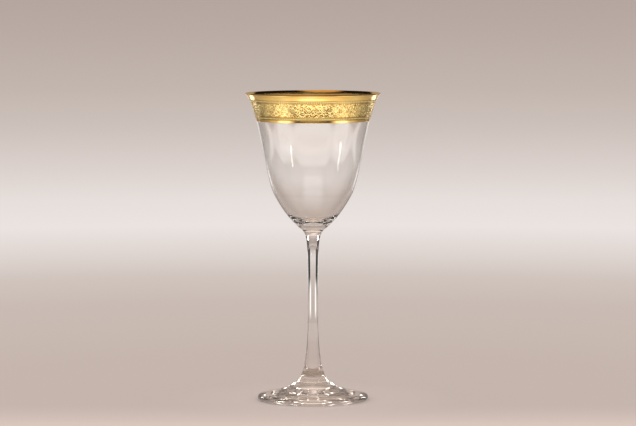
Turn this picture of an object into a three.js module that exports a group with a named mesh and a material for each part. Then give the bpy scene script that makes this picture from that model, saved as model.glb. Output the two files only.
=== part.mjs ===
import * as THREE from 'three';

// White wine glass in clear crystal: a blown bowl, a drawn stem and a spun foot, welded hot at two flat
// seams, with a gilded and etched rim. Millimetres, +Z up, the glass turned about Z, the table at Z = 0.
// Leans are degrees off the axis. A reach is how far a curve holds the lean that it starts or ends with.

// Foot
const footRadius = 34.1;
const footHeight = 18.4; // table to the lower weld
const footEdgeThickness = 3.2; // fully rounded edge
const brimLean = 79;
const brimReach = 23.5;
const neckLean = 18;
const neckReach = 6.8;
const restingRingWidth = 4; // flat ring that touches the table
const undersideRise = 3.2; // shallow hollow below the foot, at the axis

// Stem
const lowerWeldRadius = 6.2; // stem to foot
const upperWeldRadius = 7.5; // stem to bowl
const shankRadius = 3.2;
const flareHeight = 31.6; // lower weld to the straight shank
const shankHeight = 14;
const headHeight = 41.8; // straight shank to the upper weld
const flareLean = 16;
const flareReach = 5;
const flareShankReach = 15;
const headShankReach = 34;
const headLean = 53;
const headReach = 5.2;

// Bowl
const coneHeight = 20.7; // upper weld to the shoulder
const wallHeight = 62.4; // shoulder to the outer corner of the lip
const shoulderRadius = 23.7;
const lipRadius = 41.4;
const coneLean = 52.1;
const coneReach = 9.3;
const shoulderLean = 28.3;
const shoulderReachBelow = 7.9;
const shoulderReachAbove = 14.1;
const lipLean = 44.4;
const lipReach = 11.3;
const lipThickness = 0.7; // fully rounded lip
const thickening = 1.6; // how much thicker than the lip the wall would be at the upper weld
const thickeningPower = 3.1; // the higher, the closer to the weld the wall starts to thicken
const floorThickness = 4.8; // solid glass between the upper weld and the inside of the bowl
const floorEdgeHeight = 8.7; // upper weld to where the floor turns up into the wall
const floorEdgeLean = 42;
const floorReach = 7.5;
const floorEdgeReach = 6;

// Gilding
const goldFilm = 0.2; // polished bands
const etchDepth = 0.08; // the etched bands lie this much lower
const lipLineHeight = 0.6;
const lipLineInside = 1.5; // how far the gold runs down inside the lip
const plainBandHeight = 2.3;
const upperBeadingHeight = 1.7;
const friezeHeight = 8.5;
const lowerBeadingHeight = 1.8;
const baseLineHeight = 1.6;

// Fineness of the turned surfaces
const broadSegments = 48;
const slimSegments = 36;
const longCurveSteps = 9;
const shortCurveSteps = 6;
const edgeSteps = 4;
const bandFacetHeight = 3;

const shankBottom = footHeight + flareHeight;
const shankTop = shankBottom + shankHeight;
const bowlBottom = shankTop + headHeight;
const shoulderLevel = bowlBottom + coneHeight;
const lipLevel = shoulderLevel + wallHeight;

const point = (radius, height) => new THREE.Vector2(radius, height);

const along = (lean) => {
  const angle = THREE.MathUtils.degToRad(lean);
  return point(Math.sin(angle), Math.cos(angle));
};

const moved = (start, direction, distance) => start.clone().addScaledVector(direction, distance);

// A smooth curve that leaves one point and meets the next, with both leans taken going up
const sweep = (start, startLean, startReach, end, endLean, endReach) =>
  new THREE.CubicBezierCurve(
    start,
    moved(start, along(startLean), startReach),
    moved(end, along(endLean), -endReach),
    end,
  );

// A rounded edge, from one angle to another about its centre
const roundEdge = (centre, radius, startAngle, endAngle) => {
  const points = [];
  for (let step = 0; step <= edgeSteps; step += 1) {
    const angle = THREE.MathUtils.lerp(startAngle, endAngle, step / edgeSteps);
    points.push(point(centre.x + radius * Math.cos(angle), centre.y + radius * Math.sin(angle)));
  }
  return points;
};

// Evenly spaced heights, with both ends
const levels = (bottom, top, steps) => {
  const heights = [];
  for (let step = 0; step <= steps; step += 1) {
    heights.push(THREE.MathUtils.lerp(bottom, top, step / steps));
  }
  return heights;
};

// A section turned about the axis and stood upright
const turned = (name, section, segments, material) => {
  const geometry = new THREE.LatheGeometry(section, segments);
  geometry.rotateX(Math.PI / 2);
  const mesh = new THREE.Mesh(geometry, material);
  mesh.name = name;
  return mesh;
};

const crystal = () =>
  new THREE.MeshStandardMaterial({
    color: 0xe6e1dd,
    roughness: 0.03,
    metalness: 0,
    transparent: true,
    opacity: 0.4,
  });

const polishedGold = () =>
  new THREE.MeshStandardMaterial({ color: 0xe9c374, roughness: 0.12, metalness: 1 });

const etchedGold = () =>
  new THREE.MeshStandardMaterial({ color: 0xd9b466, roughness: 0.38, metalness: 1 });

// Foot: hollow underside, resting ring, rounded edge, brim and neck
const footEdgeRadius = footEdgeThickness / 2;
const footEdgeCentre = point(footRadius - footEdgeRadius, footEdgeRadius);
const footEdge = roundEdge(
  footEdgeCentre,
  footEdgeRadius,
  -Math.PI / 2,
  THREE.MathUtils.degToRad(brimLean),
);
const restingRingInner = footEdgeCentre.x - restingRingWidth;
const underside = new THREE.QuadraticBezierCurve(
  point(0, undersideRise),
  point(restingRingInner / 2, undersideRise),
  point(restingRingInner, 0),
);
const brim = sweep(
  footEdge.at(-1),
  -brimLean,
  brimReach,
  point(lowerWeldRadius, footHeight),
  -neckLean,
  neckReach,
);
const footSection = [
  ...underside.getPoints(shortCurveSteps),
  ...footEdge,
  ...brim.getPoints(longCurveSteps).slice(1),
  point(0, footHeight),
];

// Stem: flared lower end, straight shank and flared head
const flare = sweep(
  point(lowerWeldRadius, footHeight),
  -flareLean,
  flareReach,
  point(shankRadius, shankBottom),
  0,
  flareShankReach,
);
const head = sweep(
  point(shankRadius, shankTop),
  0,
  headShankReach,
  point(upperWeldRadius, bowlBottom),
  headLean,
  headReach,
);
const stemSection = [
  point(0, footHeight),
  ...flare.getPoints(shortCurveSteps),
  ...head.getPoints(longCurveSteps),
  point(0, bowlBottom),
];

// Bowl outside: a cone up to the shoulder, then a wall that flares out to the lip
const cone = sweep(
  point(upperWeldRadius, bowlBottom),
  coneLean,
  coneReach,
  point(shoulderRadius, shoulderLevel),
  shoulderLean,
  shoulderReachBelow,
);
const wall = sweep(
  point(shoulderRadius, shoulderLevel),
  shoulderLean,
  shoulderReachAbove,
  point(lipRadius, lipLevel),
  lipLean,
  lipReach,
);

// The bowl at a height, found by halving: its two faces and the direction that points out of the glass
const wallAt = (height) => {
  const side = height < shoulderLevel ? cone : wall;
  let below = 0;
  let above = 1;
  while (above - below > Number.EPSILON) {
    const middle = (below + above) / 2;
    if (side.getPoint(middle).y < height) {
      below = middle;
    } else {
      above = middle;
    }
  }
  const outer = side.getPoint(above);
  const tangent = side.getTangent(above);
  const outward = point(tangent.y, -tangent.x);
  const depth = (lipLevel - height) / (lipLevel - bowlBottom);
  const thickness = lipThickness + thickening * depth ** thickeningPower;
  return { outer, outward, inner: moved(outer, outward, -thickness) };
};

const outerFace = (height) => wallAt(height).outer;

const innerFace = (height) => wallAt(height).inner;

// The face of a gold film laid on the outside of the wall
const filmFace = (height, film) => {
  const { outer, outward } = wallAt(height);
  return moved(outer, outward, film);
};

// Gold bands on the outside, from the line on the lip down
const lipLineBottom = lipLevel - lipLineHeight;
const etchedFilm = goldFilm - etchDepth;
const bandPlan = [
  { name: 'gold_plain_band', height: plainBandHeight, film: goldFilm, finish: polishedGold },
  { name: 'gold_upper_beading', height: upperBeadingHeight, film: etchedFilm, finish: etchedGold },
  { name: 'gold_frieze', height: friezeHeight, film: etchedFilm, finish: etchedGold },
  { name: 'gold_lower_beading', height: lowerBeadingHeight, film: etchedFilm, finish: etchedGold },
  { name: 'gold_base_line', height: baseLineHeight, film: goldFilm, finish: polishedGold },
];
const goldLevels = [lipLineBottom];
const goldBands = bandPlan.map(({ name, height, film, finish }) => {
  const top = goldLevels[0];
  const heights = levels(top - height, top, Math.ceil(height / bandFacetHeight));
  goldLevels.unshift(...heights.slice(0, -1));
  const section = [
    outerFace(heights[0]),
    ...heights.map((level) => filmFace(level, film)),
    ...heights.map(outerFace).reverse(),
  ];
  return turned(name, section, broadSegments, finish());
});

// The rounded lip, and the gold line that wraps it
const lipEdgeRadius = lipThickness / 2;
const lipCorner = wallAt(lipLevel);
const lipCentre = moved(lipCorner.outer, lipCorner.outward, -lipEdgeRadius);
const lipStart = -THREE.MathUtils.degToRad(lipLean);
const lipEdge = roundEdge(lipCentre, lipEdgeRadius, lipStart, lipStart + Math.PI);
const lipInsideLevel = lipLevel - lipLineInside;
const lipInside = wallAt(lipInsideLevel);
const lipLineSection = [
  outerFace(lipLineBottom),
  filmFace(lipLineBottom, goldFilm),
  ...roundEdge(lipCentre, lipEdgeRadius + goldFilm, lipStart, lipStart + Math.PI),
  moved(lipInside.inner, lipInside.outward, -goldFilm),
  lipInside.inner,
  ...[...lipEdge].reverse(),
  outerFace(lipLineBottom),
];

// Bowl inside: a level floor that turns up into the wall
const floorEdgeLevel = bowlBottom + floorEdgeHeight;
const bowlFloor = sweep(
  point(0, bowlBottom + floorThickness),
  90,
  floorReach,
  innerFace(floorEdgeLevel),
  floorEdgeLean,
  floorEdgeReach,
);
const wallLevels = [
  ...levels(shoulderLevel, goldLevels[0], shortCurveSteps).slice(0, -1),
  ...goldLevels,
];
const insideLevels = [
  ...levels(floorEdgeLevel, shoulderLevel, shortCurveSteps).slice(0, -1),
  ...wallLevels.filter((level) => level < lipInsideLevel),
  lipInsideLevel,
];
const bowlSection = [
  point(0, bowlBottom),
  ...cone.getPoints(shortCurveSteps),
  ...wallLevels.slice(1).map(outerFace),
  ...lipEdge,
  ...insideLevels.map(innerFace).reverse(),
  ...bowlFloor.getPoints(longCurveSteps).reverse().slice(1),
];

const glass = new THREE.Group();
glass.add(
  turned('bowl', bowlSection, broadSegments, crystal()),
  turned('stem', stemSection, slimSegments, crystal()),
  turned('foot', footSection, broadSegments, crystal()),
  turned('gold_lip', lipLineSection, broadSegments, polishedGold()),
  ...goldBands,
);

export default glass;
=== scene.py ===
import bpy
import math
import numpy as np
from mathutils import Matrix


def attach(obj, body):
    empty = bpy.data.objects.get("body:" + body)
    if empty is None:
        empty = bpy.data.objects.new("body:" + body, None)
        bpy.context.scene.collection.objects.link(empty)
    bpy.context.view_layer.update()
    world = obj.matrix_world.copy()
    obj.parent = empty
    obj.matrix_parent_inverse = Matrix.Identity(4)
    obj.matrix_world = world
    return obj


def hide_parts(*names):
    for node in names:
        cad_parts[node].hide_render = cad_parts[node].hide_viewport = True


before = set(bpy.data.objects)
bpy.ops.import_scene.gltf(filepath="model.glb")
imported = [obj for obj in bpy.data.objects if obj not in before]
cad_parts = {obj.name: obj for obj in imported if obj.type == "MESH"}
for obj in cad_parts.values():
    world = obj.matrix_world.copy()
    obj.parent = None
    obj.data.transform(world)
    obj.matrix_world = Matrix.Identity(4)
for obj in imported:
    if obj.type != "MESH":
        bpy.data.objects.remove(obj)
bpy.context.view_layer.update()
scene = bpy.context.scene
print("frame loaded:", len(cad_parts), "nodes")


# Shader sockets that can be added, subtracted, multiplied and divided like numbers
class Wire:
    def __init__(self, tree, socket=None):
        self.tree = tree
        self.socket = socket

    def node(self, kind, settings, sockets, out=0):
        made = self.tree.nodes.new(kind)
        for name, value in settings.items():
            if name == "stops":
                self.setStops(made.color_ramp, value)
            else:
                setattr(made, name, value)
        for name, value in sockets.items():
            if isinstance(value, Wire):
                self.tree.links.new(value.socket, made.inputs[name])
            else:
                made.inputs[name].default_value = value
        return Wire(self.tree, made.outputs[out] if len(made.outputs) else None)

    def setStops(self, ramp, stops):
        while len(ramp.elements) < len(stops):
            ramp.elements.new(1.0)
        for element, (place, colour) in zip(ramp.elements, stops):
            element.position = place
            element.color = (*colour, 1.0)

    def math(self, operation, first, second):
        return self.node("ShaderNodeMath", {"operation": operation}, {0: first, 1: second})

    def __add__(self, other):
        return self.math("ADD", self, other)

    def __sub__(self, other):
        return self.math("SUBTRACT", self, other)

    def __rsub__(self, other):
        return self.math("SUBTRACT", other, self)

    def __mul__(self, other):
        return self.math("MULTIPLY", self, other)

    def __truediv__(self, other):
        return self.math("DIVIDE", self, other)

    __radd__ = __add__
    __rmul__ = __mul__

    def __abs__(self):
        return self.math("ABSOLUTE", self, 0.0)

    # 0 below low, 1 above high, smooth between
    def ease(self, low, high):
        return self.node("ShaderNodeMapRange", {"interpolation_type": "SMOOTHSTEP"},
                         {"Value": self, "From Min": low, "From Max": high})

    # 0, then 1 from low to high, then 0 again, with both changes smooth
    def within(self, rise, low, high, end):
        return self.ease(rise, low) * (1 - self.ease(high, end))

    # moved to another value by a mask
    def toward(self, value, mask):
        return self + (value - self) * mask

    def blend(self, first, second):
        return self.node("ShaderNodeMix", {"data_type": "RGBA"},
                         {"Factor": self, 6: first, 7: second}, out=2)

    # another shader over this one, by a mask
    def cover(self, top, mask):
        return self.node("ShaderNodeMixShader", {}, {"Fac": mask, 1: self, 2: top})

    def lightPath(self, output):
        return self.node("ShaderNodeLightPath", {}, {}, output)


oneOrMore = (0.2, 0.8)  # eased between these, a count of bounces is 0 for none and 1 for any


def newMaterial(name):
    material = bpy.data.materials.new(name)
    material.use_nodes = True
    material.node_tree.nodes.clear()
    return material, Wire(material.node_tree)


def linear(red, green, blue):
    # screen colour, 0 to 255, to the light that gives it
    def channel(value):
        value = value / 255
        return value / 12.92 if value <= 0.04045 else ((value + 0.055) / 1.055) ** 2.4
    return (channel(red), channel(green), channel(blue))


def paint(red, green, blue):
    return (*linear(red, green, blue), 1.0)


# Sections are lists of (radius, height) in millimetres, a lean is degrees off the upright axis,
# and a reach is how far a curve holds the lean that it starts or ends with
millimetre = 0.001
onAxis = 1e-6  # a smaller radius is a point on the axis


def along(lean):
    return np.array([math.sin(math.radians(lean)), math.cos(math.radians(lean))])


def sweep(start, startLean, startReach, end, endLean, endReach, steps):
    start, end = np.array(start, float), np.array(end, float)
    leave = start + along(startLean) * startReach
    arrive = end - along(endLean) * endReach
    t = np.linspace(0, 1, steps + 1)[:, None]
    return (1 - t) ** 3 * start + 3 * (1 - t) ** 2 * t * leave + 3 * (1 - t) * t ** 2 * arrive + t ** 3 * end


def roundEdge(centre, radius, startDegrees, endDegrees, steps):
    angle = np.radians(np.linspace(startDegrees, endDegrees, steps + 1))
    return np.array(centre) + radius * np.stack([np.cos(angle), np.sin(angle)], 1)


# A section turned about the axis. Rows on the axis become one point. Lift pushes each row's points out
# along its own direction, and fused says which rows' faces belong to a weld and take the second material.
def turned(name, section, segments, closed=False, lift=None, outward=None, fused=(), sharpest=40):
    rows = []
    points = []
    count = 0
    turn = np.linspace(0, 2 * math.pi, segments, endpoint=False)
    for number, (radius, height) in enumerate(section):
        if radius < onAxis:
            points.append([[0.0, 0.0, height]])
            rows.append(np.full(segments, count))
            count += 1
            continue
        radii = np.full(segments, float(radius))
        heights = np.full(segments, float(height))
        if lift is not None and number < len(lift):
            radii = radii + outward[number][0] * lift[number]
            heights = heights + outward[number][1] * lift[number]
        points.append(np.stack([radii * np.sin(turn), -radii * np.cos(turn), heights], 1))
        rows.append(np.arange(count, count + segments))
        count += segments
    points = np.concatenate(points) * millimetre
    faces = []
    weldFaces = []
    last = len(rows) if closed else len(rows) - 1
    for number in range(last):
        low, high = rows[number], rows[(number + 1) % len(rows)]
        lowNext, highNext = np.roll(low, -1), np.roll(high, -1)
        if low[0] == low[1]:
            made = np.stack([low, highNext, high], 1)
        elif high[0] == high[1]:
            made = np.stack([low, lowNext, high], 1)
        else:
            made = np.stack([low, lowNext, highNext, high], 1)
        faces.extend(made.tolist())
        weldFaces.extend([number in fused] * segments)
    mesh = bpy.data.meshes.new(name)
    mesh.from_pydata(points.tolist(), [], faces)
    mesh.polygons.foreach_set("use_smooth", [True] * len(faces))
    mesh.polygons.foreach_set("material_index", [int(weld) for weld in weldFaces])
    mesh.update()
    mesh.set_sharp_from_angle(angle=math.radians(sharpest))
    piece = bpy.data.objects.new(name, mesh)
    scene.collection.objects.link(piece)
    return piece


def settle(piece, node, slot, *materials):
    for material in materials:
        piece.data.materials.append(material)
    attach(piece, "root")
    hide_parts(node)
    print("made", piece.name, len(piece.data.polygons), "faces")


# Camera, a little above the lip and looking slightly down, in metres and millimetres of lens
viewpoint = {
    "distance": 2.04,
    "height": 0.270,
    "aimHeight": 0.1155,
    "lens": 187.8,
    "sensor": 36,
    "sideShift": 0.0079,
    "clip": (0.01, 200),
}
cameraData = bpy.data.cameras.new("camera")
camera = bpy.data.objects.new("camera", cameraData)
scene.collection.objects.link(camera)
tilt = math.atan2(viewpoint["height"] - viewpoint["aimHeight"], viewpoint["distance"])
camera.location = (0, -viewpoint["distance"], viewpoint["height"])
camera.rotation_euler = (math.pi / 2 - tilt, 0, 0)
cameraData.lens = viewpoint["lens"]
cameraData.sensor_width = viewpoint["sensor"]
cameraData.shift_x = viewpoint["sideShift"]
cameraData.clip_start, cameraData.clip_end = viewpoint["clip"]
scene.camera = camera
print("camera set")

# Clear crystal with the faintest streaks, a little warmer where it is thick
crystalLook = {
    "ior": 1.56,
    "rough": 0.0,
    "thin": (paint(252, 250, 248), paint(249, 247, 245)),
    "thick": (paint(255, 250, 244), paint(253, 247, 240)),
    "streakScale": 60,
    "streakDetail": 1.0,
}


def crystal(name, tones):
    material, shader = newMaterial(name)
    place = shader.node("ShaderNodeTexCoord", {}, {}, "Object")
    streaks = shader.node("ShaderNodeTexNoise", {}, {
        "Vector": place,
        "Scale": crystalLook["streakScale"],
        "Detail": crystalLook["streakDetail"],
    })
    surface = shader.node("ShaderNodeBsdfPrincipled", {}, {
        "Base Color": streaks.blend(*tones),
        "Roughness": crystalLook["rough"],
        "IOR": crystalLook["ior"],
        "Transmission Weight": 1.0,
    })
    shader.node("ShaderNodeOutputMaterial", {}, {"Surface": surface})
    return material


# The faces inside a weld are one glass with their neighbour, so they don't show
def weldedGlass():
    material, shader = newMaterial("weldedGlass")
    surface = shader.node("ShaderNodeBsdfPrincipled", {}, {"Alpha": 0.0})
    shader.node("ShaderNodeOutputMaterial", {}, {"Surface": surface})
    return material


thinGlass = crystal("thinCrystal", crystalLook["thin"])
thickGlass = crystal("thickCrystal", crystalLook["thick"])
weldGlass = weldedGlass()
glassSegments = 256  # round each piece of crystal
print("crystal mixed")

# Foot: hollow underside, resting ring, rounded edge, brim with faint spun rings, and neck
footPlan = {
    "radius": 34.1,
    "height": 18.4,
    "edgeThickness": 3.2,
    "edgeSteps": 20,
    "brimLean": 79.0,
    "brimReach": 23.5,
    "brimSteps": 160,
    "neckRadius": 6.2,
    "neckLean": 18.0,
    "neckReach": 6.8,
    "ringWidth": 4.0,
    "undersideRise": 3.2,
    "undersideSteps": 32,
    "rippleDepth": 0.1,
    "rippleWidth": 5.6,
    "rippleInner": 8.0,  # the rings lie between these radii, and fade over these widths
    "rippleInnerFade": 4.0,
    "rippleOuter": 31.0,
    "rippleOuterFade": 3.0,
}


def makeFoot(plan):
    edgeRadius = plan["edgeThickness"] / 2
    ringOuter = plan["radius"] - edgeRadius
    ringInner = ringOuter - plan["ringWidth"]
    t = np.linspace(0, 1, plan["undersideSteps"] + 1)[:, None]
    rise = plan["undersideRise"]
    underside = (1 - t) ** 2 * [0, rise] + 2 * (1 - t) * t * [ringInner / 2, rise] + t ** 2 * [ringInner, 0]
    edge = roundEdge((ringOuter, edgeRadius), edgeRadius, -90, plan["brimLean"], plan["edgeSteps"])
    neck = (plan["neckRadius"], plan["height"])
    brim = sweep(edge[-1], -plan["brimLean"], plan["brimReach"],
                 neck, -plan["neckLean"], plan["neckReach"], plan["brimSteps"])
    fromInner = np.clip((brim[:, 0] - plan["rippleInner"]) / plan["rippleInnerFade"], 0, 1)
    fromOuter = np.clip((plan["rippleOuter"] - brim[:, 0]) / plan["rippleOuterFade"], 0, 1)
    ripple = np.sin(2 * math.pi * brim[:, 0] / plan["rippleWidth"])
    brim[:, 1] += plan["rippleDepth"] * (fromInner * fromOuter) * ripple
    section = np.concatenate([underside, edge, brim[1:], [[0, plan["height"]]]])
    section[0, 0] = 0
    return turned("crystal_foot", section, glassSegments, fused=(len(section) - 2,))


foot = makeFoot(footPlan)
settle(foot, "foot", "crystal", thickGlass, weldGlass)

# Stem: flared lower end, straight shank and flared head
stemPlan = {
    "bottom": 18.4,
    "lowerRadius": 6.2,
    "flareLean": 16.0,
    "flareReach": 5.0,
    "flareSteps": 50,
    "shankBottom": 50.0,
    "shankTop": 64.0,
    "shankRadius": 3.2,
    "shankReach": 5.0,
    "shankSteps": 12,
    "flareShankReach": 15.0,
    "headShankReach": 34.0,
    "top": 105.8,
    "upperRadius": 7.5,
    "headLean": 53.0,
    "headReach": 5.2,
    "headSteps": 60,
}


def makeStem(plan):
    lowerWeld = (plan["lowerRadius"], plan["bottom"])
    shankLow = (plan["shankRadius"], plan["shankBottom"])
    shankHigh = (plan["shankRadius"], plan["shankTop"])
    upperWeld = (plan["upperRadius"], plan["top"])
    flare = sweep(lowerWeld, -plan["flareLean"], plan["flareReach"],
                  shankLow, 0, plan["flareShankReach"], plan["flareSteps"])
    shank = sweep(shankLow, 0, plan["shankReach"], shankHigh, 0, plan["shankReach"], plan["shankSteps"])
    head = sweep(shankHigh, 0, plan["headShankReach"],
                 upperWeld, plan["headLean"], plan["headReach"], plan["headSteps"])
    section = np.concatenate([[[0, plan["bottom"]]], flare, shank[1:-1], head, [[0, plan["top"]]]])
    return turned("crystal_stem", section, glassSegments, fused=(0, len(section) - 2))


stem = makeStem(stemPlan)
settle(stem, "stem", "crystal", thinGlass, weldGlass)

# Bowl: cone, flared wall, rounded lip, and a level floor inside
bowlPlan = {
    "bottom": 105.8,
    "bottomRadius": 7.5,
    "coneLean": 52.1,
    "coneReach": 9.3,
    "coneSteps": 2000,
    "shoulder": 126.5,
    "shoulderRadius": 23.7,
    "shoulderLean": 28.3,
    "shoulderReachBelow": 7.9,
    "shoulderReachAbove": 14.1,
    "flareSteps": 4000,
    "lip": 188.9,
    "lipRadius": 41.4,
    "lipLean": 44.4,
    "lipReach": 11.3,
    "lipThickness": 0.7,
    "lipSteps": 14,
    "thickening": 1.6,
    "thickeningPower": 3.1,
    "floorThickness": 4.8,
    "floorEdge": 114.5,
    "floorEdgeLean": 42.0,
    "floorReach": 7.5,
    "floorEdgeReach": 6.0,
    "floorSteps": 40,
    "outsideRows": 140,
    "insideRows": 130,
}


# Both faces of the bowl, and the direction out of the glass, by height on the outside
class Wall:
    def __init__(self, plan):
        self.plan = plan
        weld = (plan["bottomRadius"], plan["bottom"])
        shoulder = (plan["shoulderRadius"], plan["shoulder"])
        lip = (plan["lipRadius"], plan["lip"])
        cone = sweep(weld, plan["coneLean"], plan["coneReach"],
                     shoulder, plan["shoulderLean"], plan["shoulderReachBelow"], plan["coneSteps"])
        flare = sweep(shoulder, plan["shoulderLean"], plan["shoulderReachAbove"],
                      lip, plan["lipLean"], plan["lipReach"], plan["flareSteps"])
        self.line = np.concatenate([cone, flare[1:]])
        slope = np.gradient(self.line, axis=0)
        self.leans = np.arctan2(slope[:, 0], slope[:, 1])

    def outward(self, heights):
        lean = np.interp(heights, self.line[:, 1], self.leans)
        return np.stack([np.cos(lean), -np.sin(lean)], 1)

    def outer(self, heights, film=0.0):
        radii = np.interp(heights, self.line[:, 1], self.line[:, 0])
        face = np.stack([radii, heights], 1)
        return face + self.outward(heights) * np.reshape(film, (-1, 1))

    def inner(self, heights):
        deep = (self.plan["lip"] - heights) / (self.plan["lip"] - self.plan["bottom"])
        thickness = self.plan["lipThickness"] + self.plan["thickening"] * deep ** self.plan["thickeningPower"]
        return self.outer(heights, -thickness)


wall = Wall(bowlPlan)


def makeBowl(plan):
    outside = wall.outer(np.linspace(plan["bottom"], plan["lip"], plan["outsideRows"]))
    inside = wall.inner(np.linspace(plan["floorEdge"], plan["lip"], plan["insideRows"]))
    lipCentre = (outside[-1] + inside[-1]) / 2
    lip = roundEdge(lipCentre, plan["lipThickness"] / 2,
                    -plan["lipLean"], 180 - plan["lipLean"], plan["lipSteps"])
    floor = sweep((0, plan["bottom"] + plan["floorThickness"]), 90, plan["floorReach"],
                  inside[0], plan["floorEdgeLean"], plan["floorEdgeReach"], plan["floorSteps"])
    section = np.concatenate([[[0, plan["bottom"]]], outside[:-1], lip, inside[-2::-1], floor[-2::-1]])
    section[-1, 0] = 0
    return turned("crystal_bowl", section, glassSegments, fused=(0,))


bowl = makeBowl(bowlPlan)
settle(bowl, "bowl", "crystal", thinGlass, weldGlass)

# Polished gold: fired on and burnished round the glass, in two close shades
polishedLook = {
    "bright": paint(255, 216, 136),
    "warm": paint(249, 203, 118),
    "cloudScale": 90.0,
    "cloudDetail": 2.0,
    "cloudRange": (0.35, 0.65),
    "rough": (0.06, 0.14),
    "burnishStretch": (30.0, 30.0, 900.0),
    "burnishScale": 2.0,
    "burnishDetail": 3.0,
    "burnishStrength": 0.15,
    "burnishDepth": 0.00002,
}


def polishedGold(look):
    material, shader = newMaterial("polishedGold")
    place = shader.node("ShaderNodeTexCoord", {}, {}, "Object")
    stretched = shader.node("ShaderNodeMapping", {}, {"Vector": place, "Scale": look["burnishStretch"]})
    burnish = shader.node("ShaderNodeTexNoise", {}, {
        "Vector": stretched,
        "Scale": look["burnishScale"],
        "Detail": look["burnishDetail"],
    })
    cloud = shader.node("ShaderNodeTexNoise", {}, {
        "Vector": place,
        "Scale": look["cloudScale"],
        "Detail": look["cloudDetail"],
    })
    brushed = shader.node("ShaderNodeBump", {}, {
        "Height": burnish,
        "Strength": look["burnishStrength"],
        "Distance": look["burnishDepth"],
    })
    low, high = look["rough"]
    surface = shader.node("ShaderNodeBsdfPrincipled", {}, {
        "Base Color": cloud.ease(*look["cloudRange"]).blend(look["bright"], look["warm"]),
        "Metallic": 1.0,
        "Roughness": low + (high - low) * burnish,
        "Normal": brushed,
    })
    shader.node("ShaderNodeOutputMaterial", {}, {"Surface": surface})
    return material


# Etched gold: a pitted ground, rougher than the relief that stands on it, and painted darker as shade in its
# recesses
etchedLook = {
    # the ground's darker colour is painted shade in the recesses
    "ground": paint(190, 138, 66),
    "raised": paint(255, 228, 152),
    "raisedRange": (0.1, 0.45),
    "groundRough": 0.22,
    "raisedRough": 0.1,
    "grainRough": 0.08,
    "grainMiddle": 0.5,
    "grainScale": 2600.0,
    "grainDetail": 2.0,
    "grainStrength": 0.25,
    "grainDepth": 0.00004,
}


def etchedGold(look):
    material, shader = newMaterial("etchedGold")
    place = shader.node("ShaderNodeTexCoord", {}, {}, "Object")
    relief = shader.node("ShaderNodeAttribute", {"attribute_name": "relief"}, {}, "Fac")
    raised = relief.ease(*look["raisedRange"])
    grain = shader.node("ShaderNodeTexNoise", {}, {
        "Vector": place,
        "Scale": look["grainScale"],
        "Detail": look["grainDetail"],
    })
    pitted = shader.node("ShaderNodeBump", {}, {
        "Height": grain,
        "Strength": look["grainStrength"],
        "Distance": look["grainDepth"],
    })
    roughness = look["groundRough"] + (look["raisedRough"] - look["groundRough"]) * raised
    surface = shader.node("ShaderNodeBsdfPrincipled", {}, {
        # darker ground, lighter relief: painted shade in the recesses
        "Base Color": raised.blend(look["ground"], look["raised"]),
        "Metallic": 1.0,
        "Roughness": roughness + look["grainRough"] * (grain - look["grainMiddle"]),
        "Normal": pitted,
    })
    shader.node("ShaderNodeOutputMaterial", {}, {"Surface": surface})
    return material


goldPolished = polishedGold(polishedLook)
goldEtched = etchedGold(etchedLook)
print("gold mixed")

# All the gold: heights where one band ends and the next begins, and thicknesses of the film
goldPlan = {
    "baseBottom": 172.4,
    "lowerBeadingBottom": 174.0,
    "friezeBottom": 175.8,
    "upperBeadingBottom": 184.3,
    "plainBottom": 186.0,
    "lipBottom": 188.3,
    "film": 0.2,
    "groundFilm": 0.06,
    "sunk": 0.03,
    "edgeRound": 0.14,
    "backRows": 5,
    "sharpest": 50,
    "plainRows": 40,
    "plainSegments": 384,
    "baseTaper": 0.035,
}


# A closed band of gold on the outside of the wall, its back sunk a hair into the glass
def goldBand(name, bottom, top, rows, segments, film, lift=None):
    heights = np.linspace(bottom, top, rows)
    front = wall.outer(heights, film)
    back = wall.outer(np.linspace(top, bottom, goldPlan["backRows"]), -goldPlan["sunk"])
    piece = turned(name, np.concatenate([front, back]), segments, closed=True,
                   lift=lift, outward=wall.outward(heights), sharpest=goldPlan["sharpest"])
    if lift is not None:
        relief = np.zeros(len(piece.data.vertices), np.float32)
        relief[:lift.size] = (lift / lift.max()).ravel()
        piece.data.attributes.new("relief", "FLOAT", "POINT").data.foreach_set("value", relief)
    return piece


# Thickness of a polished band, rounded at both edges, with taper taken off towards the bottom
def roundedFilm(bottom, top, rows, taper):
    heights = np.linspace(bottom, top, rows)
    inset = np.minimum(heights - bottom, top - heights) / goldPlan["edgeRound"]
    fall = np.clip(1 - inset, 0, 1)
    ground = goldPlan["groundFilm"]
    full = goldPlan["film"] - taper * (top - heights) / (top - bottom)
    return ground + (full - ground) * np.sqrt(1 - fall ** 2)


def makePlainBand(name, bottom, top, taper):
    rows = goldPlan["plainRows"]
    film = roundedFilm(bottom, top, rows, taper)
    return goldBand(name, bottom, top, rows, goldPlan["plainSegments"], film)


plainBand = makePlainBand("gold_plain_band_burnished", goldPlan["plainBottom"], goldPlan["lipBottom"], 0.0)
settle(plainBand, "gold_plain_band", "polished_gold", goldPolished)
baseLine = makePlainBand("gold_base_line_burnished", goldPlan["baseBottom"],
                         goldPlan["lowerBeadingBottom"], goldPlan["baseTaper"])
settle(baseLine, "gold_base_line", "polished_gold", goldPolished)

# Gold line over the lip and a little way down inside
lipPlan = {
    "inside": 1.5,
    "outsideRows": 8,
    "insideRows": 16,
    "overSteps": 24,
    "underSteps": 12,
}


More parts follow.
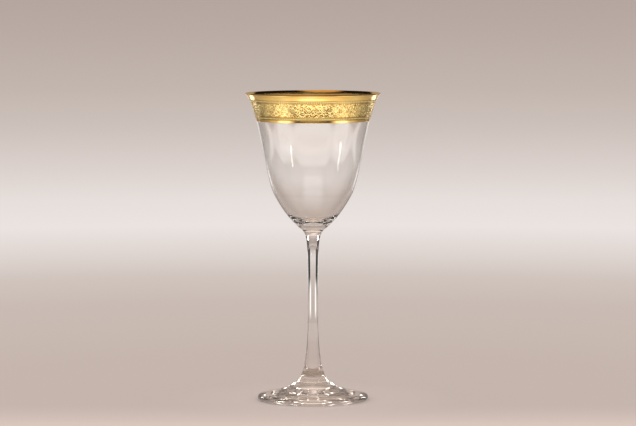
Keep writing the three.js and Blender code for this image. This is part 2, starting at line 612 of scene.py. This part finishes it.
def makeLip(plan):
    film, sunk = goldPlan["film"], goldPlan["sunk"]
    lip, lean = bowlPlan["lip"], bowlPlan["lipLean"]
    outsideHeights = np.linspace(goldPlan["lipBottom"], lip, plan["outsideRows"])
    insideHeights = np.linspace(lip, lip - plan["inside"], plan["insideRows"])
    corner = wall.outer(outsideHeights[-1:])[0]
    inCorner = wall.inner(insideHeights[:1])[0]
    centre = (corner + inCorner) / 2
    radius = bowlPlan["lipThickness"] / 2
    over = roundEdge(centre, radius + film, -lean, 180 - lean, plan["overSteps"])
    under = roundEdge(centre, radius - sunk, 180 - lean, -lean, plan["underSteps"])
    inward = -wall.outward(insideHeights)
    fall = np.clip(1 - (insideHeights - insideHeights[-1]) / goldPlan["edgeRound"], 0, 1)
    insideFilm = film * np.sqrt(1 - fall ** 2)
    section = np.concatenate([
        wall.outer(outsideHeights, film)[:-1],
        over,
        (wall.inner(insideHeights) + inward * insideFilm[:, None])[1:],
        (wall.inner(insideHeights[::-1]) - inward * sunk)[:-1],
        under,
        wall.outer(outsideHeights[::-1], -sunk)[1:],
    ])
    return turned("gold_lip_burnished", section, goldPlan["plainSegments"],
                  closed=True, sharpest=goldPlan["sharpest"])


lipLine = makeLip(lipPlan)
settle(lipLine, "gold_lip", "polished_gold", goldPolished)

# Beaded borders: a row of round beads between two ruled lines
beadingPlan = {
    "beads": 180,
    "columnsPerBead": 12,
    "rows": 17,
    "lineHalfWidth": 0.17,
    "lineInset": 0.2,
    "beadHalfHeight": 0.42,
    "beadHalfWidth": 0.45,
    "depth": 0.14,
}


def makeBeading(plan, name, bottom, top):
    height = top - bottom
    v = np.linspace(0, height, plan["rows"])[:, None]
    u = (np.arange(plan["columnsPerBead"]) / plan["columnsPerBead"] - 0.5)[None, :]
    across = u / plan["beadHalfWidth"]
    up = (v - height / 2) / plan["beadHalfHeight"]
    bead = np.sqrt(np.clip(1 - across ** 2 - up ** 2, 0, 1))
    line = 0
    for level in (plan["lineInset"], height - plan["lineInset"]):
        line = line + np.sqrt(np.clip(1 - ((v - level) / plan["lineHalfWidth"]) ** 2, 0, 1))
    one = np.maximum(bead, line * np.ones_like(u))
    lift = np.tile(one, (1, plan["beads"])) * plan["depth"]
    return goldBand(name, bottom, top, plan["rows"], lift.shape[1], goldPlan["groundFilm"], lift)


upperBeading = makeBeading(beadingPlan, "gold_upper_beading_etched",
                           goldPlan["upperBeadingBottom"], goldPlan["plainBottom"])
settle(upperBeading, "gold_upper_beading", "etched_gold", goldEtched)
lowerBeading = makeBeading(beadingPlan, "gold_lower_beading_etched",
                           goldPlan["lowerBeadingBottom"], goldPlan["friezeBottom"])
settle(lowerBeading, "gold_lower_beading", "etched_gold", goldEtched)

# Frieze: a running vine with scrolls, rosettes, leaves and berries on a grained ground. Places sideways are
# shares of one repeat, lengths are in millimetres, and the relief is a share of its depth.
friezePlan = {
    "repeats": 26,
    "columns": 61,
    "rows": 57,
    "depth": 0.14,
    "edgeFade": 0.15,
    "vineSwing": 1.7,
    "vineHalfWidth": 0.22,
    "vineSteps": 160,
    "scrolls": ((0.25, -1), (0.75, 1)),  # place, and below or above the middle
    "scrollRise": 1.0,
    "scrollRadius": 1.6,
    "scrollShrink": 0.6,
    "scrollStart": 0.9,  # half turns
    "scrollTurns": 1.4,
    "scrollHalfWidth": 0.21,
    "scrollThinning": 0.35,
    "scrollSteps": 120,
    "rosetteRadius": 0.55,
    "rosetteHeight": 0.9,
    "petals": 5,
    "petalDepth": 0.24,
    "leafLength": 0.85,
    "leafHalfWidth": 0.25,
    "leafTip": 0.05,
    "leafTaper": (0.12, 0.86),
    "leafBend": 0.3,
    "leafSteps": 24,
    "sprigs": 7,
    "sprigSpread": (20, 160),
    "sprigReach": 1.05,
    "vineLeaves": (-0.3, -0.16, 0.0, 0.16, 0.3),
    "vineLeafRoot": 1.9,
    "vineLeafWave": 0.5,
    "vineLeafFan": 110,
    "berries": ((-0.25, 3.3), (-0.08, 3.55), (0.08, 3.55), (0.25, 3.3), (-0.1, -3.5), (0.1, -3.5)),
    "berryRadius": 0.24,
    "grain": 0.5,
    "grainStep": 4,
    "grainSeed": 11,
}


# One repeat of the pattern, from 0 on the ground to 1 on the highest relief
def friezeRelief(plan, width, height):
    middle = height / 2
    v = np.linspace(0, height, plan["rows"])[:, None]
    u = (np.arange(plan["columns"]) / plan["columns"] * width)[None, :]
    raised = np.zeros((plan["rows"], plan["columns"]))

    def offsets(point):
        aside = (u - point[0] + width / 2) % width - width / 2
        return aside, v - point[1]

    def ridge(points, halfWidths):
        nonlocal raised
        for point, half in zip(points, halfWidths):
            aside, up = offsets(point)
            raised = np.maximum(raised, np.sqrt(np.clip(1 - (aside ** 2 + up ** 2) / half ** 2, 0, 1)))

    def leaf(root, degrees):
        length = plan["leafLength"]
        direction = np.array([math.cos(math.radians(degrees)), math.sin(math.radians(degrees))])
        side = np.array([-direction[1], direction[0]])
        t = np.linspace(0, 1, plan["leafSteps"])
        bend = plan["leafBend"] * length * np.sin(t * math.pi / 2) ** 2
        points = np.array(root) + np.outer(t * length, direction) + np.outer(bend, side)
        start, span = plan["leafTaper"]
        ridge(points, plan["leafHalfWidth"] * np.sin(math.pi * (start + span * t)) + plan["leafTip"])

    t = np.linspace(0, 1, plan["vineSteps"], endpoint=False)
    vine = np.stack([t * width, middle + plan["vineSwing"] * np.sin(2 * math.pi * t)], 1)
    ridge(vine, np.full(len(vine), plan["vineHalfWidth"]))
    for place, way in plan["scrolls"]:
        centre = np.array([place * width, middle + way * plan["scrollRise"]])
        t = np.linspace(0, 1, plan["scrollSteps"])
        reach = plan["scrollRadius"] * (1 - plan["scrollShrink"] * t)
        angle = way * (math.pi * plan["scrollStart"] + 2 * math.pi * plan["scrollTurns"] * t)
        scroll = centre + np.stack([reach * np.cos(angle), reach * np.sin(angle)], 1)
        ridge(scroll, plan["scrollHalfWidth"] * (1 - plan["scrollThinning"] * t))
        aside, up = offsets(centre)
        scallop = 1 - plan["petalDepth"] + plan["petalDepth"] * np.cos(plan["petals"] * np.arctan2(up, aside))
        distance = np.hypot(aside, up) / (plan["rosetteRadius"] * scallop)
        raised = np.maximum(raised, plan["rosetteHeight"] * np.sqrt(np.clip(1 - distance ** 2, 0, 1)))
        for degrees in np.linspace(*plan["sprigSpread"], plan["sprigs"]):
            turn = math.radians(way * degrees)
            outward = np.array([math.cos(turn), math.sin(turn)])
            leaf(centre + plan["scrollRadius"] * plan["sprigReach"] * outward, way * degrees)
        for sideways in plan["vineLeaves"]:
            drop = plan["vineLeafRoot"] + plan["vineLeafWave"] * math.cos(4 * math.pi * sideways)
            root = (centre[0] + sideways * width, middle - way * drop)
            leaf(root, -way * (90 + plan["vineLeafFan"] * sideways))
        for sideways, up in plan["berries"]:
            berry = (centre[0] + sideways * width, middle + way * up)
            ridge([berry], [plan["berryRadius"]])
    return raised


# Soft grain over the whole band, from 0 to 1, which meets itself at the back
def friezeGrain(plan, rows, columns):
    grainRows = rows // plan["grainStep"] + 1
    grainColumns = columns // plan["grainStep"]
    coarse = np.random.default_rng(plan["grainSeed"]).random((grainRows, grainColumns))
    up = np.arange(rows) / plan["grainStep"]
    around = np.arange(columns) / columns * grainColumns
    low, left = up.astype(int), around.astype(int)
    high, right = np.minimum(low + 1, grainRows - 1), (left + 1) % grainColumns
    upPart, aroundPart = (up - low)[:, None], (around - left)[None, :]
    lower = coarse[low][:, left] * (1 - aroundPart) + coarse[low][:, right] * aroundPart
    upper = coarse[high][:, left] * (1 - aroundPart) + coarse[high][:, right] * aroundPart
    return lower * (1 - upPart) + upper * upPart


def makeFrieze(plan, bottom, top):
    height = top - bottom
    width = 2 * math.pi * wall.outer(np.array([(bottom + top) / 2]))[0, 0] / plan["repeats"]
    lift = np.tile(friezeRelief(plan, width, height), (1, plan["repeats"])) * (1 - plan["grain"])
    lift = lift + plan["grain"] * friezeGrain(plan, *lift.shape)
    v = np.linspace(0, height, plan["rows"])[:, None]
    fade = np.clip(np.minimum(v, height - v) / plan["edgeFade"], 0, 1)
    return goldBand("gold_frieze_etched", bottom, top, plan["rows"], lift.shape[1],
                    goldPlan["groundFilm"], lift * fade * plan["depth"])


frieze = makeFrieze(friezePlan, goldPlan["friezeBottom"], goldPlan["upperBeadingBottom"])
settle(frieze, "gold_frieze", "etched_gold", goldEtched)

# Floor: one pale sheet a hair under the foot, so that no light slips below it, with painted light in its
# colour: lightest in a wide ring about the glass, and a little lighter next to the foot against its shadow.
# It is paler in front, on the camera's side.
# For rays off gold and glass it glows with painted reflections, and for rays bent through glass it shows
# painted shade and highlights.
# Distances are metres from the glass. Bearings are degrees, from straight ahead of the glass for what gold
# and glass mirror, and from straight behind it for the rest. Two numbers are where a change starts and ends,
# and four are a start and an end that are both eased.
floorPlan = {
    "radius": 60.0,
    "sides": 96,
    "drop": 0.0001,
    "paintedRingRadius": 1.4,
    # painted light: lighter next to the foot against its shadow, and lightest in the ring about the glass
    "tones": [
        (0.0, (208, 191, 182)),
        (0.042, (206, 189, 181)),
        (0.09, (200, 184, 176)),
        (0.25, (199, 183, 175)),
        (0.6, (203, 189, 181)),
        (0.8, (209, 197, 190)),
        (1.02, (224, 214, 209)),
        (1.36, (237, 230, 227)),
        (1.75, (232, 225, 221)),
        (2.5, (219, 208, 203)),
        (3.3, (207, 196, 190)),
        (5.0, (196, 183, 176)),
        (10.0, (187, 173, 165)),
        (20.0, (182, 167, 160)),
    ],
    "frontTone": (226, 206, 196),
    "frontEdge": (-0.16, -0.02),  # in Y
    "gloss": 0.05,
    "glossRough": 0.08,
    "goldTint": (1.0, 0.95, 0.9),
    "goldFrom": (18, 24),
    "glassTint": (1.0, 0.985, 0.97),
    "glassFrom": (28, 45),
    "turnedBackEdge": (-0.1, -0.05),  # in Y
}

# Painted reflections for the gold: for rays off gold the floor glows with light near it and ahead, dimmer to
# the sides and behind, dark ahead beyond the foot, a bright patch on each side of the dark, and one further
# back for each end of the band
goldPaintedReflectionPlan = {
    "nearLight": 1.2,
    "aheadLight": 1.95,
    "aheadFrom": (0.09, 0.13),
    "besideLight": 1.05,
    "besideBearing": (10, 50),
    "sideLight": 0.75,
    "sideBearing": (50, 90),
    "backLight": 0.5,
    "backBearing": (90, 130),
    "sideFall": 0.45,
    "sideFallFrom": (0.3, 0.5),
    "sideFallBearing": (80, 105),
    "darkLight": 0.1,
    "darkFrom": (0.28, 0.30),
    "darkUntil": (34, 48),
    "patchLight": 2.5,
    "patchBearing": (44, 54, 66, 80),
    "patchReach": (0.30, 0.315, 0.42, 0.45),
    "endLight": 2.8,
    "endBearing": (136, 141, 150, 156),
    "endReach": (0.36, 0.42, 0.65, 0.8),
}


def goldPaintedReflection(plan, away, off):
    level = plan["nearLight"] + (plan["aheadLight"] - plan["nearLight"]) * away.ease(*plan["aheadFrom"])
    level = level.toward(plan["besideLight"], off.ease(*plan["besideBearing"]))
    level = level.toward(plan["sideLight"], off.ease(*plan["sideBearing"]))
    level = level.toward(plan["backLight"], off.ease(*plan["backBearing"]))
    sideFall = away.ease(*plan["sideFallFrom"]) * off.ease(*plan["sideFallBearing"])
    level = level * (1 - plan["sideFall"] * sideFall)
    dark = away.ease(*plan["darkFrom"]) * (1 - off.ease(*plan["darkUntil"]))
    patch = off.within(*plan["patchBearing"]) * away.within(*plan["patchReach"])
    end = off.within(*plan["endBearing"]) * away.within(*plan["endReach"])
    level = level.toward(plan["darkLight"], dark)
    level = level.toward(plan["patchLight"], patch)
    return level.toward(plan["endLight"], end)


# Painted reflections for the glass: for rays off glass the floor glows as a weakly lit floor, a paler strip
# that widens ahead, then a dark gap, and beyond it a bright sheet that is rounded about a centre behind the
# glass. The outer face sees the middle of the sheet a little nearer than the inner face does. Only light from
# the height of the bowl sees it.
glassPaintedReflectionPlan = {
    "footLight": 0.5,
    "aheadLight": 0.4,
    "aheadFrom": (0.16, 0.22),
    "sideLight": 0.3,
    "sideBearing": (45, 105),
    "stripLight": 0.95,
    "stripSpread": 0.29,  # half width for each metre ahead
    "stripEdge": (0.0, 0.055),
    "stripReach": (0.05, 0.1, 0.265, 0.28),
    "middleUntil": (26, 44),
    "gapLight": 0.2,
    "gapFrom": (0.425, 0.44),
    "sheetLight": 3.3,
    "sheetCentre": (0.0, 0.133, 0.0),
    "sheetFrom": (0.458, 0.488),
    "sheetEnd": (0.505, 0.535),
    "sheetUntil": (95, 130),
    "shoulderShift": 0.02,
    "shoulderBearing": (40, 60),
    "flankShift": 0.065,
    "flankBearing": (72, 100),
    "middleShift": 0.014,
    "outerShift": 0.011,
    "outerTrim": 0.03,
    "heightSquared": (0.0005, 0.003),  # of the point that mirrors
}


def glassPaintedReflection(plan, shader, place, x, away, off):
    level = plan["footLight"] + (plan["aheadLight"] - plan["footLight"]) * away.ease(*plan["aheadFrom"])
    level = level.toward(plan["sideLight"], off.ease(*plan["sideBearing"]))
    besideStrip = (abs(x) - plan["stripSpread"] * away).ease(*plan["stripEdge"])
    level = level + plan["stripLight"] * (1 - besideStrip) * away.within(*plan["stripReach"])

    fromCentre = shader.node("ShaderNodeVectorMath", {"operation": "DISTANCE"},
                             {0: place, 1: plan["sheetCentre"]}, "Value")
    reach = fromCentre + plan["shoulderShift"] * off.ease(*plan["shoulderBearing"])
    reach = reach - plan["flankShift"] * off.ease(*plan["flankBearing"])
    middle = 1 - off.ease(*plan["middleUntil"])
    outer = shader.lightPath("Is Reflection Ray")
    near = reach + middle * (plan["middleShift"] + plan["outerShift"] * outer)
    level = level.toward(plan["gapLight"], near.ease(*plan["gapFrom"]) * middle)

    endLow, endHigh = plan["sheetEnd"]
    sheet = near.ease(*plan["sheetFrom"]) * (1 - off.ease(*plan["sheetUntil"]))
    sheet = sheet * (1 - reach.ease(endLow - plan["outerTrim"] * middle * outer, endHigh))
    rayLength = shader.lightPath("Ray Length")
    sheet = sheet * (rayLength * rayLength - away * away).ease(*plan["heightSquared"])
    return level.toward(plan["sheetLight"], sheet)


def glow(shader, tint, level):
    colour = shader.node("ShaderNodeVectorMath", {"operation": "SCALE"}, {0: tint, "Scale": level}, "Vector")
    return shader.node("ShaderNodeEmission", {}, {"Color": colour})


# Painted shade and painted highlights for light bent through the glass: the floor glows dark and white to
# both sides behind it
bentPaintedLightPlan = {
    "dark": (0.012, 0.01, 0.009, 1),
    "darkBearing": (20, 28, 56, 62),
    "darkReach": (0.55, 0.9, 8, 14),
    "nearDark": 0.7,
    "nearDarkBearing": (50, 56, 78, 86),
    "nearDarkReach": (0.05, 0.09, 0.44, 0.5),
    "white": (1, 0.97, 0.95, 1),
    "whiteLight": 1.2,
    "whiteBearing": (56, 62, 80, 88),
    "whiteReach": (0.66, 0.76, 8, 14),
    "nearWhiteBearing": (13, 18, 27, 33),
    "nearWhiteReach": (0.44, 0.54, 0.68, 0.85),
}


def bentPaintedLight(plan, shader, surface, bent, away, behind):
    farDark = behind.within(*plan["darkBearing"]) * away.within(*plan["darkReach"])
    nearDark = behind.within(*plan["nearDarkBearing"]) * away.within(*plan["nearDarkReach"])
    farWhite = behind.within(*plan["whiteBearing"]) * away.within(*plan["whiteReach"])
    nearWhite = behind.within(*plan["nearWhiteBearing"]) * away.within(*plan["nearWhiteReach"])
    dark = shader.node("ShaderNodeEmission", {}, {"Color": plan["dark"]})
    white = shader.node("ShaderNodeEmission", {}, {"Color": plan["white"], "Strength": plan["whiteLight"]})
    surface = surface.cover(dark, (farDark + plan["nearDark"] * nearDark) * bent)
    return surface.cover(white, (farWhite + nearWhite) * bent)


def makeFloor(plan):
    mesh = bpy.data.meshes.new("floor")
    turn = np.linspace(0, 2 * math.pi, plan["sides"], endpoint=False)
    points = [(plan["radius"] * math.cos(a), plan["radius"] * math.sin(a), 0) for a in turn]
    mesh.from_pydata(points, [], [list(range(len(points)))])
    floor = bpy.data.objects.new("floor", mesh)
    floor.location.z = -plan["drop"]
    scene.collection.objects.link(floor)
    material, shader = newMaterial("paleFloor")
    place = shader.node("ShaderNodeNewGeometry", {}, {}, "Position")
    x, y = (shader.node("ShaderNodeSeparateXYZ", {}, {0: place}, axis) for axis in "XY")
    away = shader.node("ShaderNodeVectorMath", {"operation": "LENGTH"}, {0: place}, "Value")
    behind = abs(shader.math("ARCTAN2", x, y)) * math.degrees(1)  # 0 straight behind the glass
    off = abs(shader.math("ARCTAN2", x, 0.0 - y)) * math.degrees(1)  # 0 ahead, on the camera's side

    farness = away / (away + plan["paintedRingRadius"])  # 0 at the glass, a half at the pale ring, 1 far off
    # the tones paint light onto the floor: a pale lit ring, and lighter next to the foot
    stops = [(r / (r + plan["paintedRingRadius"]), linear(*tone)) for r, tone in plan["tones"]]
    tone = shader.node("ShaderNodeValToRGB", {"stops": stops}, {"Fac": farness})
    tone = y.ease(*plan["frontEdge"]).blend(paint(*plan["frontTone"]), tone)
    matt = shader.node("ShaderNodeBsdfDiffuse", {}, {"Color": tone})
    sheen = shader.node("ShaderNodeBsdfGlossy", {}, {"Roughness": plan["glossRough"], "Color": (1, 1, 1, 1)})
    surface = matt.cover(sheen, plan["gloss"])

    # For rays off gold and glass the floor glows as painted reflections, and for rays bent through glass it
    # paints dark and white patches, painted shade and painted highlights
    mirrored = shader.lightPath("Is Reflection Ray")
    sharp = shader.lightPath("Is Singular Ray")  # off glass, while gold is a little rough
    bent = shader.lightPath("Is Transmission Ray")
    bounced = shader.lightPath("Glossy Depth").ease(*oneOrMore)
    byGold = mirrored * (1 - sharp) * behind.ease(*plan["goldFrom"])
    turnedBack = bent * (1 - y.ease(*plan["turnedBackEdge"])) * bounced  # mirrored inside, then let out
    byGlass = shader.math("MAXIMUM", mirrored * sharp * behind.ease(*plan["glassFrom"]), turnedBack)
    goldLevel = goldPaintedReflection(goldPaintedReflectionPlan, away, off)
    glassLevel = glassPaintedReflection(glassPaintedReflectionPlan, shader, place, x, away, off)
    surface = surface.cover(glow(shader, plan["goldTint"], goldLevel), byGold)
    surface = surface.cover(glow(shader, plan["glassTint"], glassLevel), byGlass)
    surface = bentPaintedLight(bentPaintedLightPlan, shader, surface, bent, away, behind)
    shader.node("ShaderNodeOutputMaterial", {}, {"Surface": surface})
    mesh.materials.append(material)


makeFloor(floorPlan)
print("floor laid")

# Soft boxes: bearing in degrees from the camera's side, distance, lowest edge, highest edge and width
# in metres, brightness, and the pieces that they light
lampTint = (1.0, 0.93, 0.87)
lampPlan = {
    "rightFront": (55, 1.1, 0.30, 0.49, 0.09, 14, (bowl,)),
    "leftFront": (-70, 1.1, 0.31, 0.46, 0.09, 14, (bowl,)),
    "rightBack": (144, 1.5, 0.30, 0.75, 0.24, 10, (stem, foot)),
    "leftBack": (-144, 1.5, 0.30, 0.75, 0.24, 10, (stem, foot)),
}


def makeLamp(name, bearing, distance, low, high, width, strength, lit):
    data = bpy.data.lights.new(name, "AREA")
    data.shape = "RECTANGLE"
    data.color = lampTint
    data.size = width
    data.size_y = high - low
    data.energy = strength * math.pi * width * (high - low)
    lamp = bpy.data.objects.new(name, data)
    angle = math.radians(bearing)
    lamp.location = (distance * math.sin(angle), -distance * math.cos(angle), (low + high) / 2)
    lamp.rotation_euler = (math.pi / 2, 0, angle)
    lamp.visible_camera = False
    lamp.visible_diffuse = False
    lamp.light_linking.receiver_collection = bpy.data.collections.new(name + "Lit")
    for piece in lit:
        lamp.light_linking.receiver_collection.objects.link(piece)
    scene.collection.objects.link(lamp)


for name, settings in lampPlan.items():
    makeLamp(name, *settings)
print("lamps hung")

# Room light: even and white on the floor, while glass and gold see a dim warm room with a lit backdrop,
# a weak light from the camera's side and a yellow ceiling. Light bent through the glass sees a pale ceiling
# and a haze. Sides are radians from straight behind the glass, tops and starts are how far a direction rises.
roomPlan = {
    "even": 1.0,
    "tint": paint(255, 235, 224),
    "dim": 0.012,
    "backdrop": 0.42,
    "backdropSides": (0.5, 0.66),
    "backdropTop": (0.6, 0.85),
    "frontBox": 0.45,
    "frontSides": (1.9, 2.2),
    "frontTop": (0.35, 0.5),
    "ceiling": 0.75,
    "ceilingTint": paint(255, 206, 120),
    "ceilingShift": -0.12,
    "ceilingFrom": (0.92, 0.99),
    "haze": 0.16,
    "hazeFrom": (0.12, 0.2),
    "highHaze": 0.34,
    "highHazeFrom": (0.3, 0.45),
}


def makeRoom(plan):
    world = bpy.data.worlds.new("room")
    world.use_nodes = True
    world.node_tree.nodes.clear()
    scene.world = world
    world.cycles.sampling_method = "NONE"
    shader = Wire(world.node_tree)
    direction = shader.node("ShaderNodeTexCoord", {}, {}, "Generated")
    x, y, z = (shader.node("ShaderNodeSeparateXYZ", {}, {0: direction}, axis) for axis in "XYZ")
    aside = abs(shader.math("ARCTAN2", x, y))
    backdrop = (1 - aside.ease(*plan["backdropSides"])) * (1 - z.ease(*plan["backdropTop"]))
    frontBox = aside.ease(*plan["frontSides"]) * (1 - z.ease(*plan["frontTop"]))
    overhead = (z + plan["ceilingShift"] * x).ease(*plan["ceilingFrom"])
    bent = shader.lightPath("Is Transmission Ray")
    seen = plan["dim"] + plan["backdrop"] * backdrop + plan["frontBox"] * frontBox
    seen = seen + plan["ceiling"] * overhead
    seen = seen + plan["haze"] * bent * z.ease(*plan["hazeFrom"])
    seen = seen + plan["highHaze"] * bent * z.ease(*plan["highHazeFrom"])
    colour = (overhead * (1 - bent)).blend(plan["tint"], plan["ceilingTint"])
    onFloor = shader.lightPath("Diffuse Depth").ease(*oneOrMore)
    mirrored = shader.lightPath("Is Glossy Ray") * (1 - onFloor)
    light = shader.node("ShaderNodeBackground", {}, {
        "Color": mirrored.blend((1, 1, 1, 1), colour),
        "Strength": mirrored * seen + (1 - mirrored) * plan["even"],
    })
    shader.node("ShaderNodeOutputWorld", {}, {"Surface": light})


makeRoom(roomPlan)
scene.cycles.max_bounces = 24
scene.cycles.transmission_bounces = 24
scene.cycles.glossy_bounces = 12
scene.cycles.transparent_max_bounces = 32
scene.view_settings.view_transform = "Standard"
print("room lit")
